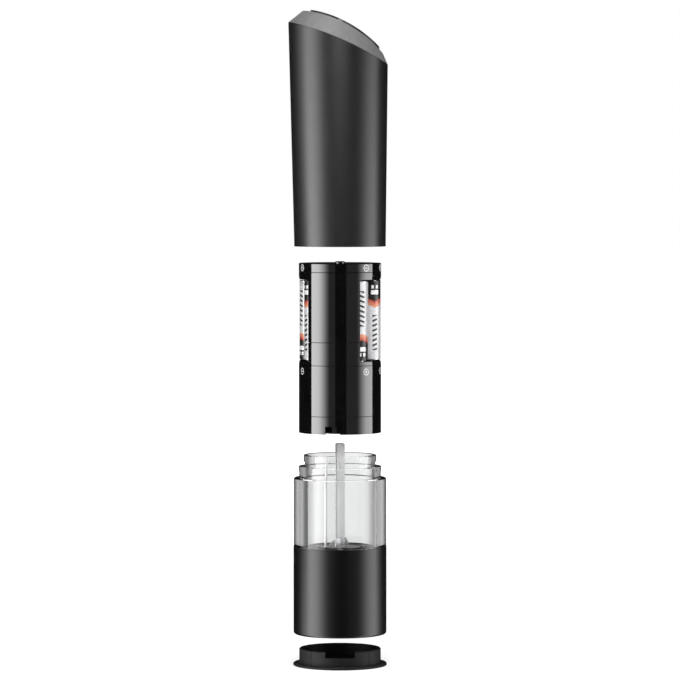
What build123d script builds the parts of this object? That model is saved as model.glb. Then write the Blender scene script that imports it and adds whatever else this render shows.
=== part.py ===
from build123d import *

import math
import os

# Battery pepper mill with a slanted push-button head, taken apart along its axis into four units:
# base cap, grinder unit, power unit and top sleeve. Millimetres, +Z up. The origin is the centre of
# the base's underside, the shown side is -Y, and the head is high at -X and low at +X.
# Every piece is modelled where it sits in the closed mill and is then lifted with its unit.

# How far the units stand apart, each counted from the unit below it
BASE_PULL = 17.8
POWER_PULL = 20.7
SLEEVE_PULL = 120.8

# Clearances
PLUG_CLEAR = 0.4  # around pieces that plug into each other by hand
SLEEVE_CLEAR = 0.7  # between the power unit and the sleeve around it
FIT_CLEAR = 0.1  # between pieces that stay fixed to each other
RUN_CLEAR = 0.06  # around turning shafts and pins
SLIDE_CLEAR = 0.2  # around pieces that slide in a guide
END_PLAY = 0.3  # between end faces of turning pieces
OVERCUT = 0.5  # how far a cutting tool reaches past a face

# AA cells
CELL_R = 6.95
CELL_BODY_H = 49.2
CELL_NUB_R = 2.75
CELL_NUB_H = 1.2
CELL_EDGE = 0.5
CELL_RING_R = 18.1
CELL_GAP = 0.1
CRADLE_CLEAR = 0.15

# Power unit
CELL_COVER = 0.1  # the unit's radius stands this far past the cells
POWER_TURN = -10.6  # turn of the unit about the axis, degrees from the shown side
SKIRT_H = 10.7
SKIRT_WALL = 2.5
SKIRT_FLOOR = 2.4
KEY_SLOT_W = 9.2
KEY_SLOT_H = 4.8
COLLAR_WALL = 1.5
MOTOR_HOUSING_H = 30.9
HOUSING_SHELL = 1.8
CELL_TRAY_WEB_H = 13.2
TRAY_FLOOR = 0.9
TRAY_SPIGOT_H = 1.7
FRAME_ROOF = 3.0
WEB_ANGLE = 79.2
WEB_WALL = 2.0
SPINE_W = 6.0
LIP_WALL = 0.9
CAP_H = 5.5
CAP_ROOF = 2.0
CAP_WALL = 2.2
EDGE_BREAK = 0.4
SEAM_BREAK = 0.2  # depth of the grooves where the unit's pieces meet

# Battery contacts
CONTACT_R = 4.4
CONTACT_THICK = 0.3
CONTACT_WIRE_R = 0.25
CONTACT_TIP_R = 2.4
CONTACT_TURNS = 2
CONTACT_SPRING_H = 2.0

# Motor leads
LEAD_R = 0.6
LEAD_OFFSET = 6.0

# Motor and planetary gear
MODULE = 0.8
SUN_TEETH = 12
PLANET_TEETH = 15
RING_TEETH = SUN_TEETH + 2 * PLANET_TEETH
PLANETS = 3
PRESSURE_ANGLE = 25.0
ADDENDUM = 0.9  # tooth tip above the pitch circle, in modules
DEDENDUM = 1.1  # tooth root below the pitch circle, in modules
TOOTH_SLACK = 0.12
GEAR_W = 5.0
GEAR_CASE_WALL = 1.4
GEAR_CASE_TOP = 1.6
GEAR_PLATE = 2.2
CARRIER_THICK = 2.2
PLANET_PIN_R = 1.6
PLANET_COLLAR = 1.0
CARRIER_RIM = 2.0
BUSH_WALL = 1.5
SOCKET_R = 5.4
SOCKET_H = 9.6
SOCKET_CLEAR = 0.15
MOTOR_R = 13.8
MOTOR_H = 15.4
MOTOR_BOSS_R = 3.2
MOTOR_SHAFT_R = 1.15
MOTOR_SHAFT_IN = 3.5
MOTOR_ROUND = 1.6
MOTOR_SCREW_RING_R = 8.1
MOTOR_SCREW_IN = 3.0
MOTOR_HOLE_IN = 4.0

# Switch under the cap
SWITCH_BOARD_R = 9.0
SWITCH_BOARD_THICK = 0.8
TACT_SIDE = 6.0
TACT_H = 0.6
PLUNGER_R = 3.0
PLUNGER_FLANGE_R = 4.4
PLUNGER_FLANGE_H = 0.7
PLUNGER_RISE = 1.0

# Screws
SCREW_R = 0.9
SCREW_HEAD_R = 1.8
SCREW_HEAD_H = 1.3
SCREW_LENGTH = 7.0
SCREW_TURN = 90.0
BOSS_WALL = 1.0

# Hopper
HOPPER_STEP = 0.35  # the hopper stands this far past the sleeve's lower end
HOPPER_H = 42.1
HOPPER_SPIGOT_H = 19.4
HOPPER_EDGE = 0.6
RING_H = 7.0
RING_INSET = 0.2
LUG_H = 3.1
LUG_OUT = 0.3
LUG_ANGLE = 74.0
LUG_TURN = -80.0
NECK_H = 7.0
NECK_WALL = 1.7
NECK_BEAD_H = 4.0
NECK_GROOVE = 0.6
KEY_CLEAR = 0.4
GUIDE_RIB_W = 6.1
GUIDE_RIB_DEEP = 3.0
GUIDE_RIB_EDGE = 0.9
GUIDE_RIB_TURN = -15.5
GUIDE_LEDGE = 0.9
GUIDE_LEDGE_DOWN = 4.0

# Lower sleeve and base cap
LOWER_STEP = 0.2  # the lower sleeve stands this far past the hopper
LOWER_H = 53.9
LOWER_WALL = 1.8
LOWER_LIP_H = 1.5
LOWER_ROUND = 1.6
FLANGE_OUT = 0.2
FLANGE_H = 1.5
FOOT_W = 6.0
FOOT_RISE = 0.4  # depth of the groove between the foot and the middle pad
FOOT_PAD_R = 12.0
CAP_FLOOR = 2.0
RIM_H = 9.0
RIM_WALL = 1.6
RIM_NOTCH_W = 18.1
RIM_NOTCH_H = 3.7
SNAP_RIB_R = 0.5
SNAP_RIB_OUT = 0.2
SNAP_RIBS = 4

# Grinder
HOUSING_WALL = 1.2
BURR_R = 15.6
BURR_WALL = 2.2
FUNNEL_MOUTH_R = 13.2
FUNNEL_DROP = 7.1
FUNNEL_LIP = 1.4
FUNNEL_WALL = 3.3
CONE_LOW_R = 12.0
CONE_TOP_R = 5.8
CONE_H = 14.2
BURR_GAP = 0.25
BURR_WAIST_H = 5.0
BURR_MOUTH_R = 13.0
BURR_TWIST = 38.0
FEED_FLUTES = 7
FEED_FLUTE_DEEP = 1.9
FEED_FLUTE_W = 3.4
FLUTE_RUNOUT = 0.6
FINE_TEETH = 28
FINE_TOOTH_DEEP = 0.55
FINE_TOOTH_W = 1.1
FINE_ZONE_H = 5.0
SHAFT_SIDE = 4.7
SHAFT_TURN = 17.0
SHAFT_ABOVE_SHOULDER = 20.9
SHAFT_FLANGE_R = 3.7
SHAFT_FLANGE_H = 0.5
CLIP_R = 5.4
CLIP_THICK = 0.8
GRIND_LIFT = 0.9  # how far the grind dial lets the cone down
BRIDGE_H = 2.2
SPOKE_W = 3.2
SPOKES = 3
SPOKE_TURN = 90.0
GUIDE_ARM_TURN = 30.0
BRIDGE_HUB_R = 5.4
BRIDGE_HUB_DROP = 2.4
BRIDGE_SCREW_RING_R = 19.3
DIAL_R = 8.6
DIAL_H = 2.4
DIAL_ABOVE_FLOOR = 0.9
DIAL_STUD_R = 3.2
DIAL_SNAP_R = 3.9
DIAL_SNAP_H = 0.5
DIAL_SCALLOPS = 12
DIAL_SCALLOP_R = 1.3
THRUST_R = 1.75
THRUST_REST = 1.0  # lower end of the thrust pin above the dial's underside

# Shaft guide and feeder in the hopper floor
GUIDE_RING_W = 1.5
GUIDE_RING_H = 3.5
GUIDE_DISC_R = 12.2
GUIDE_DISC_H = 1.8
GUIDE_HUB_R = 5.6
GUIDE_HOLE_CLEAR = 0.15
ROTOR_SPRING_R = 4.9
ROTOR_SPRING_WIRE_R = 0.4
ROTOR_SPRING_TURNS = 5
FEEDER_WALL = 0.6  # around the corners of the shaft hole
FEEDER_H = 4.4
FEEDER_REACH = 6.2
FEEDER_BLADE = 1.2
FEEDER_BLADE_H = 3.1
FEEDER_TIP_WALL = 0.3

# Top sleeve and its slanted head, heights counted from the top of the power unit
SLEEVE_WALL = 2.1
SLEEVE_FLARE = 1.06
SLEEVE_LEAN = 0.43
HEAD_HIGH = 25.8
HEAD_LOW = -0.1
RIM_CROWN = 2.3
BEVEL_HIGH_RUN = 8.8
BEVEL_HIGH_RISE = 7.0
BEVEL_LOW_RUN = 2.8
BEVEL_LOW_RISE = 6.6
TOP_CROWN = 4.8
BEZEL_SEAM = 0.12
BEZEL_THICK = 2.4
BEVEL_THICK = 3.1
BEZEL_SPIGOT_H = 4.0
BEZEL_SPIGOT_WALL = 1.2
BEZEL_SPIGOT_ROOT = 1.0
BEZEL_POST_R = 2.3
BEZEL_POST_RING_R = 23.4

# Push button
BUTTON_LENGTH = 42.0
BUTTON_WIDTH = 37.0
BUTTON_SHIFT = 3.0
BUTTON_PROUD = 1.3
BUTTON_CLEAR = 0.35
BUTTON_PLATE = 4.9
BUTTON_LIP = 0.8
BUTTON_LIP_H = 0.9
BUTTON_SEAT_R = 8.0
BUTTON_SEAT_RISE = 14.8  # spring seat above the power unit's top
BUTTON_TRAVEL = 1.5
BUTTON_STEM_R = 4.0
STEM_GAP = 0.8  # between the stem and the switch plunger in the closed mill
BRACKET_W = 9.0
BRACKET_THICK = 2.2
BRACKET_ROUND = 3.0
BRACKET_ABOVE = 4.7
BUTTON_SPRING_R = 6.2
BUTTON_SPRING_WIRE_R = 0.45
BUTTON_SPRING_TURNS = 3

# Radii that follow from the cells outwards
power_r = CELL_RING_R + CELL_R + CELL_COVER
sleeve_bore_r = power_r + SLEEVE_CLEAR
sleeve_r = sleeve_bore_r + SLEEVE_WALL
hopper_r = sleeve_r + HOPPER_STEP
lower_r = hopper_r + LOWER_STEP
lower_bore_r = lower_r - LOWER_WALL
spigot_r = lower_bore_r - FIT_CLEAR
housing_bore_r = spigot_r - HOUSING_WALL
rim_r = housing_bore_r - PLUG_CLEAR
flange_r = lower_r + FLANGE_OUT
skirt_bore_r = power_r - SKIRT_WALL
neck_r = skirt_bore_r - PLUG_CLEAR
hopper_bore_r = neck_r - NECK_WALL
collar_r = hopper_bore_r - GUIDE_RIB_DEEP - PLUG_CLEAR
ring_r = power_r - RING_INSET
housing_inner_r = power_r - HOUSING_SHELL
cell_angle = 2 * math.degrees(math.asin((CELL_R + CELL_GAP / 2) / CELL_RING_R))

# Cells: name, side of the unit, step along the side, and whether the nub points up
CELLS = [
    ("cell_right_front", 1, -1, False),
    ("cell_right_middle", 1, 0, True),
    ("cell_right_rear", 1, 1, False),
    ("cell_left_front", -1, -1, True),
    ("cell_left_middle", -1, 0, False),
    ("cell_left_rear", -1, 1, True),
]

# Levels of the closed mill from the base upwards
lower_z = FLANGE_H
lower_top_z = lower_z + LOWER_H
shoulder_z = lower_top_z + HOPPER_H
ring_top_z = shoulder_z + RING_H
neck_top_z = ring_top_z + NECK_H
hopper_low_z = lower_top_z - HOPPER_SPIGOT_H
ledge_z = lower_top_z - GUIDE_LEDGE_DOWN
shaft_top_z = shoulder_z + SHAFT_ABOVE_SHOULDER
skirt_top_z = ring_top_z + SKIRT_H
skirt_floor_z = skirt_top_z - SKIRT_FLOOR
skirt_head_z = skirt_floor_z + SCREW_HEAD_H + FIT_CLEAR
motor_top_z = skirt_top_z + MOTOR_HOUSING_H
tray_floor_z = motor_top_z + TRAY_FLOOR
tray_top_z = tray_floor_z + CELL_TRAY_WEB_H
cell_room = CELL_BODY_H + CELL_NUB_H + CONTACT_THICK + CONTACT_SPRING_H
frame_roof_z = tray_floor_z + cell_room
lip_h = CONTACT_THICK + CELL_NUB_H - FIT_CLEAR
frame_top_z = frame_roof_z + FRAME_ROOF
power_top_z = frame_top_z + CAP_H

# Levels of the motor and gear
plate_top_z = skirt_top_z + GEAR_PLATE
carrier_z = plate_top_z + END_PLAY
carrier_top_z = carrier_z + CARRIER_THICK
gear_z = carrier_top_z + 2 * END_PLAY
gear_top_z = gear_z + GEAR_W
screw_room_z = gear_top_z + SCREW_HEAD_H + 2 * END_PLAY
case_top_z = screw_room_z + GEAR_CASE_TOP
motor_back_z = case_top_z + MOTOR_H
sun_r = MODULE * SUN_TEETH / 2
planet_r = MODULE * PLANET_TEETH / 2
ring_pitch_r = MODULE * RING_TEETH / 2
planet_ring_r = sun_r + planet_r
ring_root_r = ring_pitch_r + DEDENDUM * MODULE
case_r = ring_root_r + GEAR_CASE_WALL
boss_r = SCREW_R + BOSS_WALL
skirt_screw_ring_r = case_r + END_PLAY + boss_r

# Levels of the switch
board_top_z = frame_top_z + SWITCH_BOARD_THICK
cap_roof_z = power_top_z - CAP_ROOF
cap_head_z = power_top_z - SCREW_HEAD_H - FIT_CLEAR
plunger_top_z = power_top_z + PLUNGER_RISE
cap_screw_y = SWITCH_BOARD_R + SCREW_HEAD_R + BOSS_WALL + 2 * END_PLAY

# Levels of the grinder from the base cap upwards
cap_floor_z = CAP_FLOOR
dial_z = cap_floor_z + DIAL_ABOVE_FLOOR
dial_top_z = dial_z + DIAL_H
hub_z = dial_top_z + END_PLAY
bridge_z = hub_z + BRIDGE_HUB_DROP
bridge_top_z = bridge_z + BRIDGE_H
dial_snap_z = bridge_top_z + END_PLAY
shaft_low_z = dial_snap_z + DIAL_SNAP_H + GRIND_LIFT + END_PLAY
thrust_top_z = shaft_low_z - FIT_CLEAR
cone_z = shaft_low_z + SHAFT_FLANGE_H
cone_top_z = cone_z + CONE_H
burr_z = bridge_top_z + FIT_CLEAR
burr_top_z = cone_top_z + END_PLAY
burr_seat_r = BURR_R + FIT_CLEAR
tube_r = burr_seat_r + BURR_WALL
housing_z = lower_z + LOWER_LIP_H
housing_top_z = hopper_low_z - FIT_CLEAR
funnel_top_r = hopper_bore_r - GUIDE_LEDGE
guide_z = ledge_z + FIT_CLEAR
guide_top_z = guide_z + GUIDE_RING_H + END_PLAY
clip_top_z = cone_top_z + CLIP_THICK
feeder_z = guide_top_z + GRIND_LIFT + END_PLAY
shaft_corner_r = SHAFT_SIDE / math.sqrt(2)
shaft_hole = SHAFT_SIDE + 2 * FIT_CLEAR
hole_corner_r = shaft_hole / math.sqrt(2)
feeder_hub_r = hole_corner_r + FEEDER_WALL

# Levels of the head, counted from the sleeve's lower end
sleeve_z = shoulder_z
head_z = power_top_z - sleeve_z
plunger_top = plunger_top_z - sleeve_z
bracket_low = head_z + BRACKET_ABOVE
bracket_top = bracket_low + BRACKET_THICK

UP = (Align.CENTER, Align.CENTER, Align.MIN)
DOWN = (Align.CENTER, Align.CENTER, Align.MAX)
FAR = 200.0  # longer than any piece, for cutting tools
FLARE_BELOW = 10.0  # how far the leaning bar starts below the sleeve's lower end


# Shared shapes

def rod(radius, low, high, x=0.0, y=0.0):
    return Pos(x, y, low) * Cylinder(radius, high - low, align=UP)


def tube(outer, inner, low, high):
    return rod(outer, low, high) - rod(inner, low, high)


def slab(width, depth, low, high, x=0.0, y=0.0):
    return Pos(x, y, low) * Box(width, depth, high - low, align=UP)


def turned(*profile):
    outline = make_face(Plane.XZ * Polyline(*profile, close=True))
    return revolve(outline, axis=Axis.Z)


def polar(radius, degrees):
    angle = math.radians(degrees)
    return radius * math.cos(angle), radius * math.sin(angle)


def front_sector(outer, inner, low, high, width):
    """Ring sector about the -Y direction, width in degrees."""
    half = math.radians(width / 2)
    reach = 2 * outer
    corners = [(0, 0)] + [(reach * math.sin(a), -reach * math.cos(a)) for a in (-half, half)]
    wedge = Pos(0, 0, low) * extrude(make_face(Polyline(*corners, close=True)), high - low)
    return tube(outer, inner, low, high) & wedge


def spread(shape, count, start=0.0):
    """The shape repeated about the axis."""
    return [Rot(0, 0, start + 360 * k / count) * shape for k in range(count)]


def group(shapes):
    return Compound([solid for shape in shapes for solid in shape.solids()])


def turn_power(shape):
    return Rot(0, 0, POWER_TURN) * shape


def turn_power_group(shapes):
    return group(turn_power(shape) for shape in shapes)


def turn_shaft(shape):
    return Rot(0, 0, SHAFT_TURN) * shape


def screw(x, y, head_z, length, upward=True):
    """Pan-head screw whose head rests against head_z, pointing up or down."""
    way = 1 if upward else -1
    heads = sorted((head_z, head_z - way * SCREW_HEAD_H))
    shanks = sorted((head_z, head_z + way * length))
    return rod(SCREW_HEAD_R, *heads, x, y) + rod(SCREW_R, *shanks, x, y)


def biarc(start, start_way, end, end_way):
    """Two arcs that leave and arrive along the given unit directions."""
    chord = end - start
    ways = start_way + end_way
    sharpness = 2 * (1 - start_way.dot(end_way))
    along = chord.dot(ways)
    reach = (math.sqrt(along**2 + sharpness * chord.dot(chord)) - along) / sharpness
    first = start + start_way * reach
    second = end - end_way * reach
    middle = (first + second) * 0.5
    return [
        Edge.make_tangent_arc(start, start_way, middle),
        Edge.make_tangent_arc(middle, (second - first).normalized(), end),
    ]


def coil(low_r, high_r, low, high, turns, wire_r, name):
    """Coil spring between two levels, tapering from low_r to high_r, with its gap to itself printed."""
    bottom = low + wire_r
    rise = high - low - 2 * wire_r
    sweep_angle = 2 * math.pi * turns
    halves = 2 * turns

    def at(share):
        radius = low_r + (high_r - low_r) * share
        angle = sweep_angle * share
        return Vector(radius * math.cos(angle), radius * math.sin(angle), bottom + rise * share)

    def way(share):
        radius = low_r + (high_r - low_r) * share
        angle = sweep_angle * share
        grow = high_r - low_r
        turn = sweep_angle * radius
        across = grow * math.cos(angle) - turn * math.sin(angle)
        along = grow * math.sin(angle) + turn * math.cos(angle)
        return Vector(across, along, rise).normalized()

    edges = []
    for k in range(halves):
        here, there = k / halves, (k + 1) / halves
        edges += biarc(at(here), way(here), at(there), way(there))
    one_turn = 1 / turns
    samples = [k * (1 - one_turn) / 90 for k in range(91)]
    gap = min((at(s + one_turn) - at(s)).length for s in samples) - 2 * wire_r
    print(f"{name} gap between turns {gap:.2f} mm")
    section = Plane(origin=at(0), z_dir=way(0)) * Circle(wire_r)
    return sweep(section, path=Wire(edges))


def gear_face(teeth, addendum, dedendum, slack):
    """Outline of a spur gear with a tooth along +X, its flanks on the involute of the pressure angle."""
    pressure = math.radians(PRESSURE_ANGLE)
    pitch_r = MODULE * teeth / 2
    base_r = pitch_r * math.cos(pressure)
    half_tooth = (math.pi * MODULE / 2 - slack) / (2 * pitch_r)

    def half_angle(radius):
        slope = math.acos(min(1.0, base_r / radius))
        return half_tooth + (math.tan(pressure) - pressure) - (math.tan(slope) - slope)

    low, high = pitch_r - dedendum, pitch_r + addendum
    radii = [low, (low + pitch_r) / 2, pitch_r, high]
    points = []
    for k in range(teeth):
        middle = 2 * math.pi * k / teeth
        flank = [(radius, middle - half_angle(radius)) for radius in radii]
        flank += [(radius, middle + half_angle(radius)) for radius in reversed(radii)]
        points += [(radius * math.cos(a), radius * math.sin(a)) for radius, a in flank]
    return make_face(Polyline(*points, close=True))


def gear(teeth, bore_r, low, high):
    face = gear_face(teeth, ADDENDUM * MODULE, DEDENDUM * MODULE, TOOTH_SLACK)
    return Pos(0, 0, low) * extrude(face, high - low) - rod(bore_r, low, high)


# Base cap

def make_base_cap():
    foot_in = flange_r - FOOT_W
    rim_in = rim_r - RIM_WALL
    rim_top = FLANGE_H + RIM_H
    body = turned(
        (0, 0), (FOOT_PAD_R, 0), (FOOT_PAD_R + FOOT_RISE, FOOT_RISE),
        (foot_in, FOOT_RISE), (foot_in + FOOT_RISE, 0),
        (flange_r - EDGE_BREAK, 0), (flange_r, EDGE_BREAK), (flange_r, FLANGE_H - EDGE_BREAK),
        (flange_r - EDGE_BREAK, FLANGE_H), (rim_r, FLANGE_H), (rim_r, rim_top - EDGE_BREAK),
        (rim_r - EDGE_BREAK, rim_top), (rim_in, rim_top), (rim_in, cap_floor_z), (0, cap_floor_z),
    )
    body -= slab(RIM_NOTCH_W, rim_r, rim_top - RIM_NOTCH_H, rim_top + OVERCUT, 0, -rim_r)
    rib_at = rim_r + SNAP_RIB_OUT - SNAP_RIB_R
    rib = rod(SNAP_RIB_R, FLANGE_H, rim_top - 2 * EDGE_BREAK, *polar(rib_at, 45))
    for rib_copy in spread(rib, SNAP_RIBS):
        body += rib_copy
    return body


# Grinder unit

def make_lower_sleeve():
    body = rod(lower_r, lower_z, lower_top_z)
    body = fillet(body.faces().sort_by(Axis.Z)[0].edges(), LOWER_ROUND)
    body -= rod(lower_bore_r, housing_z, lower_top_z + OVERCUT)
    return body - rod(housing_bore_r, lower_z - OVERCUT, lower_top_z)


def make_spice_hopper():
    ledge_bore_r = hopper_bore_r - GUIDE_LEDGE
    groove_r = neck_r - NECK_GROOVE
    bead_z = neck_top_z - NECK_BEAD_H
    body = turned(
        (ledge_bore_r, hopper_low_z), (spigot_r, hopper_low_z), (spigot_r, lower_top_z),
        (hopper_r, lower_top_z), (hopper_r, shoulder_z - HOPPER_EDGE),
        (hopper_r - HOPPER_EDGE, shoulder_z), (ring_r, shoulder_z), (ring_r, ring_top_z - EDGE_BREAK),
        (ring_r - EDGE_BREAK, ring_top_z), (groove_r, ring_top_z), (groove_r, bead_z),
        (neck_r, bead_z), (neck_r, neck_top_z - EDGE_BREAK), (neck_r - EDGE_BREAK, neck_top_z),
        (hopper_bore_r, neck_top_z), (hopper_bore_r, ledge_z), (ledge_bore_r, ledge_z),
    )
    lug = front_sector(ring_r + LUG_OUT, groove_r, ring_top_z - LUG_H, ring_top_z, LUG_ANGLE)
    for lug_copy in spread(lug, 2, LUG_TURN):
        body += lug_copy
    key_top = ring_top_z + KEY_SLOT_H - KEY_CLEAR
    key_ring = tube(ring_r - EDGE_BREAK, groove_r - FIT_CLEAR, ring_top_z, key_top)
    key = key_ring & slab(KEY_SLOT_W - 2 * KEY_CLEAR, FAR, 0, FAR, 0, -FAR / 2)
    rib = rod(hopper_bore_r + FIT_CLEAR, ledge_z, neck_top_z) & guide_rib(0.0)
    return body + turn_power(key) + rib


def guide_rib(clear):
    """Front block that the guide rib is cut from, or the room for it with a clearance around."""
    half = GUIDE_RIB_W / 2 + clear
    back_y = -hopper_bore_r + GUIDE_RIB_DEEP + clear
    edge_y = back_y - GUIDE_RIB_EDGE
    corner = half - GUIDE_RIB_EDGE
    right = [(half, -FAR), (half, edge_y), (corner, back_y)]
    left = [(-x, y) for x, y in reversed(right)]
    block = extrude(make_face(Polyline(*right, *left, close=True)), FAR)
    return Rot(0, 0, GUIDE_RIB_TURN) * block


def make_shaft_guide():
    ring_out = hopper_bore_r - FIT_CLEAR
    ring_in = ring_out - GUIDE_RING_W
    ring_top = guide_z + GUIDE_RING_H
    body = tube(ring_out, ring_in, guide_z, ring_top)
    body += rod(GUIDE_HUB_R, guide_z, guide_top_z)
    body += rod(GUIDE_DISC_R, guide_top_z - GUIDE_DISC_H, guide_top_z)
    arm_length = ring_in + GUIDE_RING_W / 2
    arm = slab(arm_length, SPOKE_W, guide_z, ring_top, arm_length / 2)
    for arm_copy in spread(arm, SPOKES, GUIDE_ARM_TURN):
        body += arm_copy
    body -= rod(shaft_corner_r + GUIDE_HOLE_CLEAR, guide_z - OVERCUT, guide_top_z + OVERCUT)
    return body - guide_rib(2 * FIT_CLEAR)


def make_grinder_housing():
    ceiling_r = burr_seat_r
    lip_z = burr_top_z + FIT_CLEAR
    mouth_z = lip_z + FUNNEL_LIP
    pocket_z = mouth_z + FUNNEL_DROP / 2
    body = turned(
        (housing_bore_r, housing_z), (spigot_r, housing_z), (spigot_r, housing_top_z),
        (funnel_top_r, housing_top_z), (FUNNEL_MOUTH_R, mouth_z), (FUNNEL_MOUTH_R, lip_z),
        (ceiling_r, lip_z), (ceiling_r, bridge_top_z), (tube_r, bridge_top_z),
        (tube_r, pocket_z - FUNNEL_WALL), (housing_bore_r, housing_top_z - FUNNEL_WALL),
    )
    boss = rod(boss_r + FIT_CLEAR, bridge_top_z, bridge_top_z + SCREW_LENGTH, BRIDGE_SCREW_RING_R)
    hole_low = bridge_top_z - OVERCUT
    hole = rod(SCREW_R + FIT_CLEAR, hole_low, bridge_top_z + SCREW_LENGTH, BRIDGE_SCREW_RING_R)
    for boss_copy in spread(boss, SPOKES, SPOKE_TURN):
        body += boss_copy
    body -= rod(ceiling_r, hole_low, lip_z)
    for hole_copy in spread(hole, SPOKES, SPOKE_TURN):
        body -= hole_copy
    return body


def make_burr_bridge():
    ear_r = SCREW_HEAD_R + BOSS_WALL
    spoke_length = (FUNNEL_MOUTH_R + tube_r) / 2
    body = tube(tube_r, FUNNEL_MOUTH_R, bridge_z, bridge_top_z)
    body += rod(BRIDGE_HUB_R, hub_z, bridge_top_z)
    spoke = slab(spoke_length, SPOKE_W, bridge_z, bridge_top_z, spoke_length / 2)
    ear = rod(ear_r, bridge_z, bridge_top_z, BRIDGE_SCREW_RING_R)
    for piece in spread(spoke + ear, SPOKES, SPOKE_TURN):
        body += piece
    body -= rod(DIAL_STUD_R + RUN_CLEAR, hub_z - OVERCUT, bridge_top_z + OVERCUT)
    hole = rod(SCREW_R + FIT_CLEAR, bridge_z - OVERCUT, bridge_top_z + OVERCUT, BRIDGE_SCREW_RING_R)
    for hole_copy in spread(hole, SPOKES, SPOKE_TURN):
        body -= hole_copy
    return body


def make_bridge_screws():
    one = screw(BRIDGE_SCREW_RING_R, 0, bridge_z, SCREW_LENGTH)
    return group(spread(one, SPOKES, SPOKE_TURN))


def burr_cutter(low_r, low_z, top_r, top_z, width, deep, twist, inward):
    """Slanted three-sided groove cutter along a cone, cutting into a cone or outwards into a ring."""
    side = -1 if inward else 1

    def section(radius, level, angle):
        root = radius + side * deep
        mouth = radius - side * deep
        flat = make_face(Polyline((root, 0), (mouth, width), (mouth, -width), close=True))
        return Pos(0, 0, level) * Rot(0, 0, angle) * flat

    return loft([section(low_r, low_z, 0), section(top_r, top_z, twist)], ruled=True)


def make_burr_cone():
    body = Pos(0, 0, cone_z) * Cone(CONE_LOW_R, CONE_TOP_R, CONE_H, align=UP)
    slope = (CONE_LOW_R - CONE_TOP_R) / CONE_H
    flute = burr_cutter(
        CONE_LOW_R, cone_z - OVERCUT, CONE_TOP_R, cone_top_z + OVERCUT,
        FEED_FLUTE_W / 2, FEED_FLUTE_DEEP, BURR_TWIST, True,
    )
    fine_top_r = CONE_LOW_R - slope * FINE_ZONE_H
    fine_twist = BURR_TWIST * FINE_ZONE_H / CONE_H
    fine = burr_cutter(
        CONE_LOW_R, cone_z - OVERCUT, fine_top_r + FINE_TOOTH_DEEP, cone_z + FINE_ZONE_H + OVERCUT,
        FINE_TOOTH_W / 2, FINE_TOOTH_DEEP, fine_twist, True,
    )
    body -= spread(flute, FEED_FLUTES) + spread(fine, FINE_TEETH)
    return body - turn_shaft(slab(shaft_hole, shaft_hole, cone_z - OVERCUT, cone_top_z + OVERCUT))


def make_burr_ring():
    slope = (CONE_LOW_R - CONE_TOP_R) / CONE_H
    waist_z = cone_z + BURR_WAIST_H
    waist_r = CONE_LOW_R - slope * BURR_WAIST_H + BURR_GAP
    low_r = CONE_LOW_R + slope * (cone_z - burr_z) + BURR_GAP
    body = turned(
        (low_r, burr_z), (BURR_R, burr_z), (BURR_R, burr_top_z), (BURR_MOUTH_R, burr_top_z),
        (waist_r, waist_z),
    )
    flute = burr_cutter(
        waist_r - FLUTE_RUNOUT, waist_z - 2 * OVERCUT, BURR_MOUTH_R - FLUTE_RUNOUT / 2, burr_top_z + OVERCUT,
        FEED_FLUTE_W / 2, FEED_FLUTE_DEEP, -BURR_TWIST / 2, False,
    )
    fine = burr_cutter(
        low_r, burr_z - OVERCUT, waist_r, waist_z + OVERCUT,
        FINE_TOOTH_W / 2, FINE_TOOTH_DEEP, -BURR_TWIST * FINE_ZONE_H / CONE_H, False,
    )
    return body - (spread(flute, FEED_FLUTES) + spread(fine, FINE_TEETH))


def make_drive_shaft():
    bar = slab(SHAFT_SIDE, SHAFT_SIDE, cone_z, shaft_top_z)
    bar = chamfer(bar.faces().sort_by(Axis.Z)[-1].edges(), EDGE_BREAK)
    return turn_shaft(bar) + rod(SHAFT_FLANGE_R, shaft_low_z, cone_z)


def make_cone_clip():
    disc = rod(CLIP_R, cone_top_z, clip_top_z)
    return disc - turn_shaft(slab(shaft_hole, shaft_hole, cone_top_z - OVERCUT, clip_top_z + OVERCUT))


def make_rotor_spring():
    return coil(
        ROTOR_SPRING_R, ROTOR_SPRING_R, clip_top_z + FIT_CLEAR, guide_z - FIT_CLEAR,
        ROTOR_SPRING_TURNS, ROTOR_SPRING_WIRE_R, "rotor_spring",
    )


def make_feeder():
    top = feeder_z + FEEDER_H
    body = rod(feeder_hub_r, feeder_z, top)
    blade = slab(FEEDER_REACH, FEEDER_BLADE, feeder_z, feeder_z + FEEDER_BLADE_H, FEEDER_REACH / 2)
    for blade_copy in spread(blade, 2, SHAFT_TURN):
        body += blade_copy
    tip_r = hole_corner_r + FEEDER_TIP_WALL
    body = body & (Pos(0, 0, feeder_z) * Cone(FEEDER_REACH, tip_r, FEEDER_H, align=UP))
    return body - turn_shaft(slab(shaft_hole, shaft_hole, feeder_z - OVERCUT, top + OVERCUT))


def make_grind_dial():
    wheel = rod(DIAL_R, dial_z, dial_top_z)
    scallop = rod(DIAL_SCALLOP_R, dial_z - OVERCUT, dial_top_z + OVERCUT, DIAL_R + DIAL_SCALLOP_R / 2)
    wheel -= spread(scallop, DIAL_SCALLOPS)
    wheel += rod(DIAL_STUD_R, dial_top_z, dial_snap_z)
    snap_top = dial_snap_z + DIAL_SNAP_H
    wheel += rod(DIAL_SNAP_R, dial_snap_z, snap_top)
    return wheel - rod(THRUST_R + RUN_CLEAR, dial_z - OVERCUT, snap_top + OVERCUT)


def make_thrust_pin():
    return rod(THRUST_R, dial_z + THRUST_REST, thrust_top_z)


# Power unit

def seam_groove(level):
    """V-shaped ring that breaks the outer edges of two pieces that meet at a level."""
    outer = power_r + OVERCUT
    reach = SEAM_BREAK + OVERCUT
    return turned((power_r - SEAM_BREAK, level), (outer, level + reach), (outer, level - reach))


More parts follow.
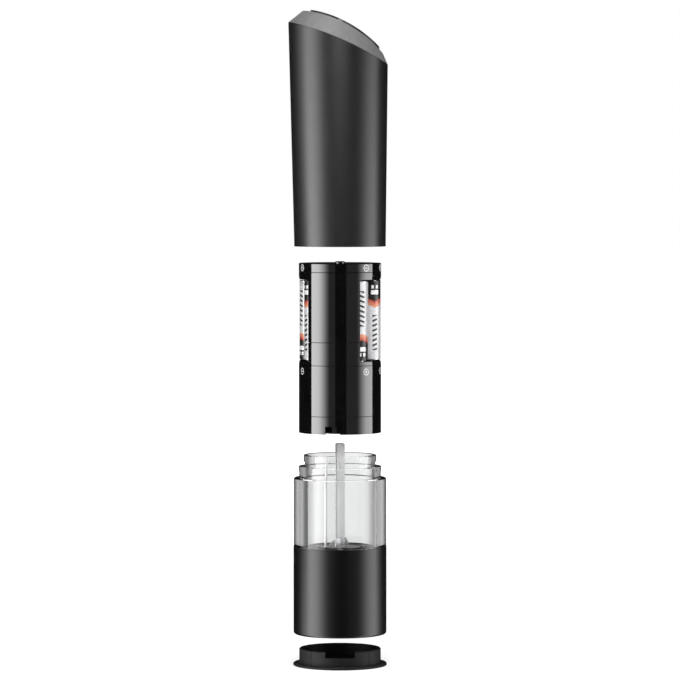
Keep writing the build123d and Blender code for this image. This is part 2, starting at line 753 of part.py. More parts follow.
def make_coupling_skirt():
    """Skirt with the bayonet recess, and a collar that stands inside the hopper's neck."""
    body = tube(power_r, skirt_bore_r, ring_top_z, skirt_top_z) - seam_groove(skirt_top_z)
    body += tube(power_r - SKIRT_WALL / 2, SOCKET_R + END_PLAY, skirt_floor_z, skirt_top_z)
    body -= slab(KEY_SLOT_W, FAR, ring_top_z - OVERCUT, ring_top_z + KEY_SLOT_H, 0, -FAR / 2)
    body += tube(collar_r, collar_r - COLLAR_WALL, ring_top_z, skirt_floor_z)
    head_room = rod(SCREW_HEAD_R + SLIDE_CLEAR, skirt_floor_z - OVERCUT, skirt_head_z, skirt_screw_ring_r)
    hole = rod(SCREW_R + FIT_CLEAR, skirt_floor_z, skirt_top_z + OVERCUT, skirt_screw_ring_r)
    for cut in spread(head_room + hole, PLANETS, SCREW_TURN):
        body -= cut
    return turn_power(body)


def make_skirt_screws():
    one = screw(skirt_screw_ring_r, 0, skirt_head_z, SCREW_LENGTH)
    return turn_power_group(spread(one, PLANETS, SCREW_TURN))


def make_gear_plate():
    plate = tube(housing_inner_r - FIT_CLEAR, SOCKET_R + RUN_CLEAR + BUSH_WALL, skirt_top_z, plate_top_z)
    hole = rod(SCREW_R + FIT_CLEAR, skirt_top_z - OVERCUT, plate_top_z + OVERCUT, skirt_screw_ring_r)
    for cut in spread(hole, PLANETS, SCREW_TURN):
        plate -= cut
    return turn_power(plate)


def make_output_bush():
    outer = SOCKET_R + RUN_CLEAR + BUSH_WALL - FIT_CLEAR / 2
    return tube(outer, SOCKET_R + RUN_CLEAR, skirt_top_z, plate_top_z)


def make_motor_housing():
    body = tube(power_r, housing_inner_r, skirt_top_z, motor_top_z)
    boss_z = plate_top_z + FIT_CLEAR
    boss = rod(boss_r, boss_z, case_top_z, skirt_screw_ring_r)
    foot_middle = (skirt_screw_ring_r + power_r) / 2
    foot = slab(power_r - skirt_screw_ring_r, 2 * boss_r, boss_z, case_top_z, foot_middle)
    wall = rod(power_r - HOUSING_SHELL / 2, boss_z, case_top_z)
    hole = rod(SCREW_R + FIT_CLEAR, plate_top_z, plate_top_z + SCREW_LENGTH, skirt_screw_ring_r)
    for boss_copy in spread(((boss + foot) & wall) - hole, PLANETS, SCREW_TURN):
        body += boss_copy
    return turn_power(body - seam_groove(skirt_top_z) - seam_groove(motor_top_z))


def motor_screw_holes(low, high):
    return [rod(SCREW_R + FIT_CLEAR, low, high, x) for x in (-MOTOR_SCREW_RING_R, MOTOR_SCREW_RING_R)]


def make_gear_case():
    """Case whose wall carries the ring gear, open below the planets for the carrier."""
    body = rod(case_r, plate_top_z, case_top_z)
    room = gear_face(RING_TEETH, DEDENDUM * MODULE, ADDENDUM * MODULE, -TOOTH_SLACK)
    body -= Pos(0, 0, plate_top_z - OVERCUT) * extrude(room, screw_room_z - plate_top_z + OVERCUT)
    body -= rod(ring_root_r, plate_top_z - OVERCUT, gear_z - END_PLAY / 2)
    body -= rod(MOTOR_BOSS_R + FIT_CLEAR, screw_room_z - OVERCUT, case_top_z + OVERCUT)
    body -= motor_screw_holes(screw_room_z - OVERCUT, case_top_z + OVERCUT)
    return turn_power(body)


def make_motor():
    body = rod(MOTOR_R, case_top_z, motor_back_z)
    body = fillet(body.faces().sort_by(Axis.Z)[-1].edges(), MOTOR_ROUND)
    body += rod(MOTOR_BOSS_R, screw_room_z, case_top_z)
    body -= rod(MOTOR_SHAFT_R + RUN_CLEAR, screw_room_z - OVERCUT, case_top_z + MOTOR_HOLE_IN)
    body -= motor_screw_holes(case_top_z - OVERCUT, case_top_z + MOTOR_HOLE_IN)
    return turn_power(body)


def make_motor_screws():
    length = GEAR_CASE_TOP + MOTOR_SCREW_IN
    places = (-MOTOR_SCREW_RING_R, MOTOR_SCREW_RING_R)
    return turn_power_group(screw(x, 0, screw_room_z, length) for x in places)


def make_motor_shaft():
    return rod(MOTOR_SHAFT_R, gear_z, case_top_z + MOTOR_SHAFT_IN)


def make_sun_gear():
    return turn_power(gear(SUN_TEETH, MOTOR_SHAFT_R + FIT_CLEAR / 10, gear_z, gear_top_z))


def make_planet_gear(k):
    wheel = gear(PLANET_TEETH, PLANET_PIN_R + RUN_CLEAR, gear_z, gear_top_z)
    return turn_power(Rot(0, 0, 360 * k / PLANETS) * Pos(planet_ring_r, 0, 0) * wheel)


def make_planet_carrier():
    plate_r = planet_ring_r + PLANET_PIN_R + CARRIER_RIM
    socket_z = carrier_top_z - SOCKET_H
    body = rod(plate_r, carrier_z, carrier_top_z) + rod(SOCKET_R, socket_z, carrier_z)
    collar = rod(PLANET_PIN_R + PLANET_COLLAR, carrier_top_z, gear_z - END_PLAY, planet_ring_r)
    pin = rod(PLANET_PIN_R, carrier_top_z, gear_top_z, planet_ring_r) + collar
    for pin_copy in spread(pin, PLANETS):
        body += turn_power(pin_copy)
    side = SHAFT_SIDE + 2 * SOCKET_CLEAR
    return body - turn_shaft(slab(side, side, socket_z - OVERCUT, carrier_top_z + OVERCUT))


def web_pair(low, high):
    web = front_sector(power_r, power_r - WEB_WALL, low, high, WEB_ANGLE)
    return spread(web, 2)


def cradles(low, high):
    """Room for the cells in the webs and the spine."""
    bay = rod(CELL_R + CRADLE_CLEAR, low, high)
    return [cell_place(side, step) * bay for _, side, step, _ in CELLS]


def window_lip(low):
    """Ring just inside the unit's side that keeps the cells in at one end of the windows."""
    return tube(power_r - SEAM_BREAK, power_r - LIP_WALL, low, low + lip_h)


def lead_holes(low, high):
    return [rod(LEAD_R + SLIDE_CLEAR, low, high, 0, y) for y in (-LEAD_OFFSET, LEAD_OFFSET)]


def make_cell_tray():
    body = rod(power_r, motor_top_z, tray_floor_z)
    body += rod(housing_inner_r - FIT_CLEAR, motor_top_z - TRAY_SPIGOT_H, motor_top_z)
    for web in web_pair(tray_floor_z, tray_top_z - BEZEL_SEAM):
        body += web
    body -= cradles(tray_floor_z, tray_top_z)
    body -= lead_holes(motor_top_z - TRAY_SPIGOT_H - OVERCUT, tray_floor_z + OVERCUT)
    body += window_lip(tray_floor_z)
    return turn_power(body - seam_groove(motor_top_z) - seam_groove(tray_top_z))


def make_cell_frame():
    body = rod(power_r, frame_roof_z, frame_top_z)
    for web in web_pair(tray_top_z, frame_roof_z):
        body += web
    between_webs = math.sqrt((power_r - WEB_WALL - FIT_CLEAR) ** 2 - (SPINE_W / 2) ** 2)
    body += slab(SPINE_W, 2 * between_webs, tray_floor_z, frame_roof_z)
    body += slab(SPINE_W, 2 * (power_r - WEB_WALL / 2), tray_top_z, frame_roof_z)
    body -= cradles(tray_floor_z, frame_roof_z)
    body -= lead_holes(tray_floor_z - OVERCUT, frame_top_z + OVERCUT)
    for y in (-cap_screw_y, cap_screw_y):
        body -= rod(SCREW_R + FIT_CLEAR, frame_top_z - SCREW_LENGTH, frame_top_z + OVERCUT, 0, y)
    body += window_lip(frame_roof_z - lip_h)
    return turn_power(body - seam_groove(tray_top_z) - seam_groove(frame_top_z))


def make_top_cap():
    body = rod(power_r, frame_top_z + BEZEL_SEAM, power_top_z)
    body = chamfer(body.faces().sort_by(Axis.Z)[-1].edges(), EDGE_BREAK)
    body -= rod(power_r - CAP_WALL, frame_top_z, cap_roof_z)
    body -= seam_groove(frame_top_z)
    body -= rod(PLUNGER_R + SLIDE_CLEAR, cap_roof_z - OVERCUT, power_top_z + OVERCUT)
    for y in (-cap_screw_y, cap_screw_y):
        body += rod(SCREW_HEAD_R + BOSS_WALL, frame_top_z, power_top_z - EDGE_BREAK, 0, y)
        body -= rod(SCREW_R + FIT_CLEAR, frame_top_z - OVERCUT, power_top_z + OVERCUT, 0, y)
        body -= rod(SCREW_HEAD_R + SLIDE_CLEAR, cap_head_z, power_top_z + OVERCUT, 0, y)
    return turn_power(body)


def make_cap_screws():
    places = (-cap_screw_y, cap_screw_y)
    return turn_power_group(screw(0, y, cap_head_z, SCREW_LENGTH, upward=False) for y in places)


def cell_place(side, step):
    x, y = polar(CELL_RING_R, step * cell_angle)
    return Pos(side * x, y, 0)


def cell_column(shape, nub_up):
    """Turns a shape made for an upright cell over, within the cell room, where the nub points down."""
    middle = (tray_floor_z + frame_roof_z) / 2
    return shape if nub_up else Pos(0, 0, middle) * Rot(180, 0, 0) * Pos(0, 0, -middle) * shape


def at_all_cells(shape):
    return turn_power_group(
        cell_place(side, step) * cell_column(shape, nub_up) for _, side, step, nub_up in CELLS
    )


def make_cell(side, step, nub_up):
    top = frame_roof_z - CONTACT_THICK - CELL_NUB_H
    can = rod(CELL_R, top - CELL_BODY_H, top)
    can = chamfer(can.edges().filter_by(GeomType.CIRCLE), CELL_EDGE)
    can += rod(CELL_NUB_R, top, top + CELL_NUB_H)
    return turn_power(cell_place(side, step) * cell_column(can, nub_up))


def make_contact_plates():
    return at_all_cells(rod(CONTACT_R, frame_roof_z - CONTACT_THICK, frame_roof_z))


def make_contact_springs():
    high = frame_roof_z - CONTACT_THICK - CELL_NUB_H - CELL_BODY_H
    spring = coil(
        CONTACT_R - CONTACT_WIRE_R, CONTACT_TIP_R, tray_floor_z + FIT_CLEAR, high - FIT_CLEAR,
        CONTACT_TURNS, CONTACT_WIRE_R, "contact_springs",
    )
    return at_all_cells(spring)


def make_motor_leads():
    pair = [rod(LEAD_R, motor_back_z, frame_top_z, 0, y) for y in (-LEAD_OFFSET, LEAD_OFFSET)]
    return turn_power_group(pair)


def make_switch_board():
    return rod(SWITCH_BOARD_R, frame_top_z, board_top_z)


def make_tact_switch():
    body = slab(TACT_SIDE, TACT_SIDE, board_top_z, board_top_z + TACT_H)
    return turn_power(chamfer(body.edges().filter_by(Axis.Z), EDGE_BREAK))


def make_switch_plunger():
    flange_top = cap_roof_z - END_PLAY
    flange = rod(PLUNGER_FLANGE_R, flange_top - PLUNGER_FLANGE_H, flange_top)
    stem = rod(PLUNGER_R, flange_top, plunger_top_z)
    return flange + chamfer(stem.faces().sort_by(Axis.Z)[-1].edges(), EDGE_BREAK)


# Top sleeve: shapes of the head in the sleeve's own height, zero at its lower end

def flared(radius):
    """Leaning, widening round bar that has the given radius at the lower end."""
    grow = math.tan(math.radians(SLEEVE_FLARE))
    bar = Cone(radius - FLARE_BELOW * grow, radius + FAR * grow, FAR + FLARE_BELOW, align=UP)
    leaning = Rot(0, -SLEEVE_LEAN, 0) * Pos(0, 0, -FLARE_BELOW) * bar
    return leaning & slab(FAR, FAR, 0, FAR - FLARE_BELOW)


def wall_x(side, level):
    grow = math.tan(math.radians(SLEEVE_FLARE))
    return side * (sleeve_r + level * grow) - level * math.tan(math.radians(SLEEVE_LEAN))


def arc_through(start, end, crown):
    """Centre (x, z) and radius of the arc from start to end whose middle stands crown above the chord."""
    run, rise = end[0] - start[0], end[1] - start[1]
    chord = math.hypot(run, rise)
    radius = (chord**2 / 4 + crown**2) / (2 * crown)
    drop = radius - crown
    middle = (start[0] + end[0]) / 2, (start[1] + end[1]) / 2
    return (middle[0] + drop * rise / chord, middle[1] - drop * run / chord), radius


rim_left = wall_x(-1, head_z + HEAD_HIGH), head_z + HEAD_HIGH
rim_right = wall_x(1, head_z + HEAD_LOW), head_z + HEAD_LOW
top_left = rim_left[0] + BEVEL_HIGH_RUN, rim_left[1] + BEVEL_HIGH_RISE
top_right = rim_right[0] - BEVEL_LOW_RUN, rim_right[1] + BEVEL_LOW_RISE
rim_centre, rim_arc_r = arc_through(rim_left, rim_right, RIM_CROWN)
top_centre, top_arc_r = arc_through(top_left, top_right, TOP_CROWN)


def barrel(centre, radius):
    """Cylinder along Y, whose upper side is an arched surface of the head."""
    return Pos(centre[0], 0, centre[1]) * Rot(90, 0, 0) * Cylinder(radius, FAR)


def under_rim(grow=0.0):
    return barrel(rim_centre, rim_arc_r + grow)


def under_top(grow=0.0):
    return barrel(top_centre, top_arc_r + grow)


def bevel_cone(drop=0.0):
    """Leaning cone whose sides are the bevel at the high and the low end of the head."""
    high_angle = math.atan2(BEVEL_HIGH_RISE, BEVEL_HIGH_RUN)
    low_angle = math.pi - math.atan2(BEVEL_LOW_RISE, BEVEL_LOW_RUN)
    lean = math.pi / 2 - (high_angle + low_angle) / 2
    half = (low_angle - high_angle) / 2
    high_slope = BEVEL_HIGH_RISE / BEVEL_HIGH_RUN
    low_slope = BEVEL_LOW_RISE / BEVEL_LOW_RUN
    gap = rim_left[1] - rim_right[1]
    apex_x = (low_slope * rim_right[0] + high_slope * rim_left[0] - gap) / (high_slope + low_slope)
    apex_z = rim_left[1] + high_slope * (apex_x - rim_left[0])
    cone = Cone(FAR * math.tan(half), 0, FAR, align=DOWN)
    return Pos(apex_x, 0, apex_z - drop) * Rot(0, math.degrees(lean), 0) * cone


def button_prism(margin):
    """Upright oval bar of the button's outline, from the spring seat upwards."""
    outline = Pos(BUTTON_SHIFT, 0) * Ellipse(BUTTON_LENGTH / 2 + margin, BUTTON_WIDTH / 2 + margin)
    return Pos(0, 0, head_z) * extrude(outline, FAR)


def make_top_sleeve():
    body = (flared(sleeve_r) & under_rim()) - flared(sleeve_bore_r)
    return Pos(0, 0, sleeve_z) * body


def make_top_bezel():
    spigot_out = sleeve_bore_r - FIT_CLEAR
    spigot_in = spigot_out - BEZEL_SPIGOT_WALL
    crown = (flared(sleeve_r) & bevel_cone() & under_top()) - under_rim(BEZEL_SEAM)
    spigot = (flared(spigot_out) & under_rim(BEZEL_SPIGOT_ROOT)) - under_rim(-BEZEL_SPIGOT_H)
    room = flared(spigot_in) & bevel_cone(BEVEL_THICK) & under_top(-BEZEL_THICK)
    body = crown + spigot - room - button_prism(BUTTON_CLEAR)
    for y in (-BEZEL_POST_RING_R, BEZEL_POST_RING_R):
        post = rod(BEZEL_POST_R, bracket_top + FIT_CLEAR, FAR, 0, y)
        hole = rod(SCREW_R + FIT_CLEAR, 0, bracket_top + SCREW_LENGTH, 0, y)
        body = body + (post & bevel_cone(BEZEL_THICK / 2) & flared(spigot_out)) - hole
    return Pos(0, 0, sleeve_z) * body


def make_push_button():
    lip_top = -BEZEL_THICK - END_PLAY
    plate_low = BUTTON_PROUD - BUTTON_PLATE
    cap = (button_prism(0) & under_top(BUTTON_PROUD)) - under_top(plate_low)
    lip = (button_prism(BUTTON_LIP) & under_top(lip_top)) - under_top(lip_top - BUTTON_LIP_H)
    above_cap = slab(FAR, FAR, head_z + BUTTON_TRAVEL + END_PLAY, 2 * FAR)
    seat_z = head_z + BUTTON_SEAT_RISE
    seat = rod(BUTTON_SEAT_R, seat_z, FAR) & under_top(plate_low / 2)
    stem = rod(BUTTON_STEM_R, plunger_top + STEM_GAP, seat_z + OVERCUT)
    body = ((cap + lip) & above_cap) + seat + stem
    return Pos(0, 0, sleeve_z) * body


def make_button_bracket():
    half = BEZEL_POST_RING_R + BEZEL_POST_R
    bar = slab(BRACKET_W, 2 * half, bracket_low, bracket_top)
    bar = fillet(bar.edges().filter_by(Axis.Z), BRACKET_ROUND)
    bar += rod(BUTTON_SPRING_R + 2 * BUTTON_SPRING_WIRE_R, bracket_low, bracket_top)
    bar -= rod(BUTTON_STEM_R + SLIDE_CLEAR, bracket_low - OVERCUT, bracket_top + OVERCUT)
    for y in (-BEZEL_POST_RING_R, BEZEL_POST_RING_R):
        bar -= rod(SCREW_R + FIT_CLEAR, bracket_low - OVERCUT, bracket_top + OVERCUT, 0, y)
    return Pos(0, 0, sleeve_z) * bar


def make_bracket_screws():
    places = (-BEZEL_POST_RING_R, BEZEL_POST_RING_R)
    return group(Pos(0, 0, sleeve_z) * screw(0, y, bracket_low, SCREW_LENGTH) for y in places)


def make_button_spring():
    high = head_z + BUTTON_SEAT_RISE - FIT_CLEAR
    spring = coil(
        BUTTON_SPRING_R, BUTTON_SPRING_R, bracket_top + FIT_CLEAR, high,
        BUTTON_SPRING_TURNS, BUTTON_SPRING_WIRE_R, "button_spring",
    )
    return Pos(0, 0, sleeve_z) * spring


# All pieces by unit, each unit lifted by what it is pulled apart

grinder_lift = BASE_PULL
power_lift = grinder_lift + POWER_PULL
sleeve_lift = power_lift + SLEEVE_PULL

base_unit = {"base_cap": make_base_cap()}

grinder_unit = {
    "lower_sleeve": make_lower_sleeve(),
    "spice_hopper": make_spice_hopper(),
    "shaft_guide": make_shaft_guide(),
    "grinder_housing": make_grinder_housing(),
    "burr_bridge": make_burr_bridge(),
    "bridge_screws": make_bridge_screws(),
    "burr_ring": make_burr_ring(),
    "burr_cone": make_burr_cone(),
    "drive_shaft": make_drive_shaft(),
    "cone_clip": make_cone_clip(),
    "rotor_spring": make_rotor_spring(),
    "feeder": make_feeder(),
    "grind_dial": make_grind_dial(),
    "thrust_pin": make_thrust_pin(),
}

power_unit = {
    "coupling_skirt": make_coupling_skirt(),
    "skirt_screws": make_skirt_screws(),
    "gear_plate": make_gear_plate(),
    "output_bush": make_output_bush(),
    "motor_housing": make_motor_housing(),
    "gear_case": make_gear_case(),
    "motor": make_motor(),
    "motor_screws": make_motor_screws(),
    "motor_shaft": make_motor_shaft(),
    "sun_gear": make_sun_gear(),
    "planet_carrier": make_planet_carrier(),
    "cell_tray": make_cell_tray(),
    "cell_frame": make_cell_frame(),
    "top_cap": make_top_cap(),
    "cap_screws": make_cap_screws(),
    "contact_plates": make_contact_plates(),
    "contact_springs": make_contact_springs(),
    "motor_leads": make_motor_leads(),
    "switch_board": make_switch_board(),
    "tact_switch": make_tact_switch(),
    "switch_plunger": make_switch_plunger(),
}
for index in range(PLANETS):
    power_unit[f"planet_gear_{index + 1}"] = make_planet_gear(index)
for cell_name, cell_side, cell_step, cell_nub_up in CELLS:
    power_unit[cell_name] = make_cell(cell_side, cell_step, cell_nub_up)

sleeve_unit = {
    "top_sleeve": make_top_sleeve(),
    "top_bezel": make_top_bezel(),
    "push_button": make_push_button(),
    "button_bracket": make_button_bracket(),
    "bracket_screws": make_bracket_screws(),
    "button_spring": make_button_spring(),
}

os.makedirs("parts", exist_ok=True)
for unit, lift in (
    (base_unit, 0.0), (grinder_unit, grinder_lift), (power_unit, power_lift), (sleeve_unit, sleeve_lift)
):
    for node, shape in unit.items():
        lifted = group(Pos(0, 0, lift) * solid for solid in shape.solids())
        export_step(lifted, f"parts/{node}.step")
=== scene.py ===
import math

import bmesh
import bpy
from mathutils import Matrix, Vector


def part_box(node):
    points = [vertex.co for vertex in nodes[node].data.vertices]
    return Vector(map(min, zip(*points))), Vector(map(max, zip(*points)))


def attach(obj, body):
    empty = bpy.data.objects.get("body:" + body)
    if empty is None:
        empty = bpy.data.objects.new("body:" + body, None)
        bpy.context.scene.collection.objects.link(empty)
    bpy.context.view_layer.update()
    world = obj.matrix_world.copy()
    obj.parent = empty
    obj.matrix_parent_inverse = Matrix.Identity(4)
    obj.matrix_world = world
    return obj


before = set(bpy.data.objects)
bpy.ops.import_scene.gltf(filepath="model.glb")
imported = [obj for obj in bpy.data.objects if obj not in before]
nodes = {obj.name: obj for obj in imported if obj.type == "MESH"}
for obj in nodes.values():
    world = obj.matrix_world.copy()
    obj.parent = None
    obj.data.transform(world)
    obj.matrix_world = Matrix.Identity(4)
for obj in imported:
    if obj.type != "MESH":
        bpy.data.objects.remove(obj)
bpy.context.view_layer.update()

# Looks of a battery pepper mill that stands taken apart along its axis: finishes, printed marks,
# stage, light and camera. Metres, +Z up, the shown side is -Y.

MM = 0.001

# Camera: how the mill stands in the picture
PICTURE_WIDTH = 416 * MM  # real width that the picture spans at the mill's axis
CAMERA_DISTANCE = 2.3
CAMERA_RISE = 2.4  # degrees above level
CAMERA_AIM = 199.5 * MM  # height that the middle of the picture looks at
SENSOR = 36.0  # width of the camera's sensor in millimetres

# Stage and light, angles in degrees from the camera's side, positive to the right
FLOOR_HALF = 4.0
FLOOR_WHITE = ((0.88, 0.88, 0.88), (0.9, 0.9, 0.9))
FLOOR_CLOUDS = 8  # scale of the floor's mottling
FLOOR_ROUGH = 0.9
CARD_RADIUS = 0.6
CARD_STEPS = 32
CARD_LOW = -1.2  # cards reach under the floor, because mirrored rays pass it
CARD_HIGH = 1.6
LEFT_LIGHT = (-13.5, -85.5)
RIGHT_LIGHT = (17.5, 101.0)
FRONT_CARD = (-13.5, 17.5)
SIDE_CARD = (-85.5, 101.0 - 360.0)
LEFT_RISE = (-27.0, -68.0)  # angles between which the light grows to its full strength
RIGHT_RISE = (46.0, 83.0)
LEFT_GLOW = (0.18, 6.5)  # weakest and full strength
RIGHT_GLOW = (0.18, 4.1)
LEFT_FADE = (0.30, 0.55, 0.29)  # heights between which the light fades, and the share that is left
RIGHT_FADE = (0.22, 0.50, 0.23)
CARD_GLOW = 0.0155  # nearly black
FRONT_FADE = (0.36, 0.70, 650.0)  # heights between which the front card grows bright, and by how much
EDGE_RADIUS = 0.58
LEFT_EDGE = (-85.5, -120.0)  # softer outer border of the lights, under and over the power unit only
RIGHT_EDGE = (101.0, 125.0)
EDGE_HEIGHTS = (0.02, 0.25)  # top of the lower border and foot of the upper one
LOW_EDGE_GLOW = (3.1, 1.6)  # left and right
HIGH_EDGE_GLOW = 1.55
SHADE = (115.0, 180.0)  # grey that is seen through the clear hopper, on both sides
HAZE = (75.0, 115.0)  # where that grey grows pale again towards the front
SHADE_RISE = (120.0, 142.0)  # angles between which the grey grows brighter
SHADE_GLOW = (0.16, 0.5)
HAZE_GLOW = 1.0  # at the haze's front end
LEFT_MIDDLE = (158.0, 168.0, 1.68)  # angles between which the grey grows again, and by how much
RIGHT_MIDDLE = (148.0, 170.0, 1.78)
FRONT_SHADE = (0.0, 70.0)  # grey in front, which the shaft mirrors through the hopper's wall
FRONT_SHADE_GLOW = 0.69
AMBIENT = 0.5  # strength of the white world as light
BACKGROUND = 1.0  # its strength where it is seen, mirrored or seen through clear walls
FLOOR_GLOW = (0.3, 0.8)  # own light of the floor by the mill, where its shadow is kept, and far away
FLOOR_FAR = (0.4, 1.2)  # distances from the axis between which that light grows
LAMP_AIM = (0, 0, 0.2)
LAMP_POWER = 12
TOP_LAMP = (0.1, -0.3, 1.5)
TOP_LAMP_SIZE = 1.0
FRONT_LAMP = (-0.2, -1.5, 0.9)
FRONT_LAMP_SIZE = 0.8

# Clouds that finishes are made of
CLOUD_DETAIL = 3.0
CLOUD_LOW, CLOUD_HIGH = 0.3, 0.7  # most of a noise lies between these

# Clear acrylic of the hopper
ACRYLIC = ((0.935, 0.94, 0.94), (0.955, 0.96, 0.96))
ACRYLIC_EDGE_SHADE = (0.15, 0.15, 0.15)  # painted shade of a wall that is seen edge on
ACRYLIC_TURN = (0.35, 0.8)  # how far a wall turns away where that painted shade begins and where it is full
ACRYLIC_ROUGH = (0.0, 0.02)
ACRYLIC_IOR = 1.49
ACRYLIC_CLOUDS, ACRYLIC_WEAR = 40, 120  # scales of the tint's and the roughness's clouds
ACRYLIC_GRAIN = (55, 0.02, 0.3 * MM)  # scale, strength and depth of its relief

# Printed polarity marks on the power unit
MARK_R = 2.1 * MM
MARK_LINE = 0.5 * MM
MARK_BAR = 2.2 * MM
MARK_THICK = 0.06 * MM
MARK_RISE = 0.1 * MM  # how far the front of a mark stands out of the wall
MARK_DOWN = 3.7 * MM  # centre of the lower marks under the top of the motor housing
MARK_SPREAD = 37.6  # degrees between the middle mark of a side and its neighbours
MARK_TURN = -13.1  # degrees that the middle marks are turned about the axis
MARK_SEGMENTS = 40
MARK_BAR_SEGMENTS = 4  # let the bar of a mark bend with the wall

# Print on the cells, counted from the shoulder at the nub's end
CELL_NUB = 1.2 * MM
CELL_DARK = (0.9 * MM, 13.2 * MM)
CELL_WARM = (13.2 * MM, 17.2 * MM)
CELL_BARS = (21.5 * MM, 43.0 * MM)
CELL_JACKET = (0.9 * MM, 48.4 * MM)
PRINT_ROWS = 4
PRINT_TURN = 60.0  # degrees that the print is turned round the cell
CHEVRON = 0.4  # slope of the warm band
BAR_STEP = 3.0 * MM  # from one slanted bar to the next
BAR_STROKE = 1.3 * MM
BAR_HALF = 1.7 * MM  # half of a bar's length across the row
BAR_SLANT = 0.35
BLOCK = (6.4 * MM, 9.0 * MM)  # white block on the dark end
BLOCK_HALF = 2.6 * MM
TILES = (3.4 * MM, 5.4 * MM)  # pair of small white tiles between block and nub
TILE_OUT = 1.5 * MM  # from the row's middle to the middle of a tile
TILE_HALF = 0.8 * MM
CELL_SILVER = ((0.60, 0.60, 0.62), (0.68, 0.68, 0.69))
CELL_INK = (0.02, 0.02, 0.022)
CELL_BLACK = (0.012, 0.012, 0.013)
CELL_WHITE = (0.85, 0.85, 0.85)
CELL_RED, CELL_ORANGE = (0.42, 0.045, 0.035), (0.72, 0.33, 0.2)  # ends of the warm band
CELL_METAL = (0.1, 1.0)  # of the printed jacket and of the bare ends
CELL_ROUGH = (0.22, 0.34)
CELL_CLOUDS, CELL_WEAR = 500, 700
CELL_GRAIN = (320, 0.05, 0.05 * MM)


# Node helpers

class Tree:
    """Node tree of a new material, with short ways to add its nodes."""

    MIX_SHARE, MIX_FIRST, MIX_SECOND, MIX_RESULT = 0, 6, 7, 2  # colour sockets of a mix node

    def __init__(self, name):
        self.material = bpy.data.materials.new(name)
        self.material.use_nodes = True
        self.nodes = self.material.node_tree.nodes
        self.shader = self.nodes["Principled BSDF"]

    def add(self, kind, **settings):
        node = self.nodes.new(kind)
        for key, value in settings.items():
            setattr(node, key, value)
        return node

    def link(self, source, target):
        self.material.node_tree.links.new(source, target)

    def put(self, value, target):
        """Links a socket to an input, or writes any other value on it."""
        if isinstance(value, bpy.types.NodeSocket):
            self.link(value, target)
        else:
            target.default_value = value

    def feed(self, node, **inputs):
        """Sets inputs by name, with underscores for the blanks in it."""
        for key, value in inputs.items():
            self.put(value, node.inputs[key.replace("_", " ")])

    def place(self, scale=(1, 1, 1), shift=(0, 0, 0)):
        """Object coordinates, scaled and shifted."""
        coordinates = self.add("ShaderNodeTexCoord")
        mapping = self.add("ShaderNodeMapping")
        self.feed(mapping, Vector=coordinates.outputs["Object"], Location=shift, Scale=scale)
        return mapping.outputs["Vector"]

    def noise(self, scale, stretch=(1, 1, 1)):
        texture = self.add("ShaderNodeTexNoise")
        self.feed(texture, Vector=self.place(stretch), Scale=scale, Detail=CLOUD_DETAIL)
        return texture.outputs["Fac"]

    def spread(self, value, low, high, start=CLOUD_LOW, end=CLOUD_HIGH, curve="LINEAR"):
        """Value taken from the range start to end to the range low to high."""
        node = self.add("ShaderNodeMapRange", interpolation_type=curve)
        self.feed(node, Value=value, From_Min=start, From_Max=end, To_Min=low, To_Max=high)
        return node.outputs["Result"]

    def blend(self, share, first, second):
        """Colour between two colours or colour sockets."""
        node = self.add("ShaderNodeMix", data_type="RGBA")
        self.put(share, node.inputs[self.MIX_SHARE])
        for colour, place in ((first, self.MIX_FIRST), (second, self.MIX_SECOND)):
            opaque = (*colour, 1.0) if isinstance(colour, tuple) else colour
            self.put(opaque, node.inputs[place])
        return node.outputs[self.MIX_RESULT]

    def math(self, operation, first, second=0.0, third=0.0):
        node = self.add("ShaderNodeMath", operation=operation)
        for target, value in zip(node.inputs, (first, second, third)):
            self.put(value, target)
        return node.outputs[0]

    def relief(self, grain, stretch=(1, 1, 1)):
        """Fine bumps, grain is (scale, strength, depth)."""
        scale, strength, depth = grain
        height = self.noise(scale, stretch)
        bump = self.add("ShaderNodeBump")
        self.feed(bump, Height=height, Strength=strength, Distance=depth)
        self.link(bump.outputs["Normal"], self.shader.inputs["Normal"])


# Finishes

def finish(name, dark, light, mottle, rough, wear, grain, stretch=(1, 1, 1), **constants):
    """Finish whose colour, roughness and relief vary over the surface.

    mottle and wear are the scales of the colour and roughness clouds, grain is (scale, strength, depth).
    """
    tree = Tree(name)
    clouds = tree.spread(tree.noise(mottle), 0.0, 1.0)
    tree.link(tree.blend(clouds, dark, light), tree.shader.inputs["Base Color"])
    tree.link(tree.spread(tree.noise(wear, stretch), *rough), tree.shader.inputs["Roughness"])
    tree.relief(grain, stretch)
    tree.feed(tree.shader, **constants)
    return tree.material


def fine_matt_black():
    return finish(
        "fine_matt_black", dark=(0.004, 0.004, 0.0042), light=(0.006, 0.006, 0.0062),
        mottle=420, rough=(0.33, 0.37), wear=260, grain=(5200, 0.12, 0.03 * MM),
        Specular_IOR_Level=0.58,
    )


def deep_matt_black():
    return finish(
        "deep_matt_black", dark=(0.0012, 0.0012, 0.0013), light=(0.0022, 0.0022, 0.0023),
        mottle=420, rough=(0.285, 0.32), wear=260, grain=(5200, 0.1, 0.03 * MM),
        Specular_IOR_Level=0.44,
    )


def dull_black():
    return finish(
        "dull_black", dark=(0.008, 0.008, 0.0083), light=(0.0115, 0.0115, 0.0118),
        mottle=500, rough=(0.52, 0.62), wear=260, grain=(3800, 0.15, 0.04 * MM),
        Specular_IOR_Level=0.17,
    )


def polished_black():
    return finish(
        "polished_black", dark=(0.0015, 0.0015, 0.0016), light=(0.003, 0.003, 0.0032),
        mottle=90, rough=(0.05, 0.09), wear=240, grain=(75, 0.02, 0.4 * MM),
        Specular_IOR_Level=1.0,
    )


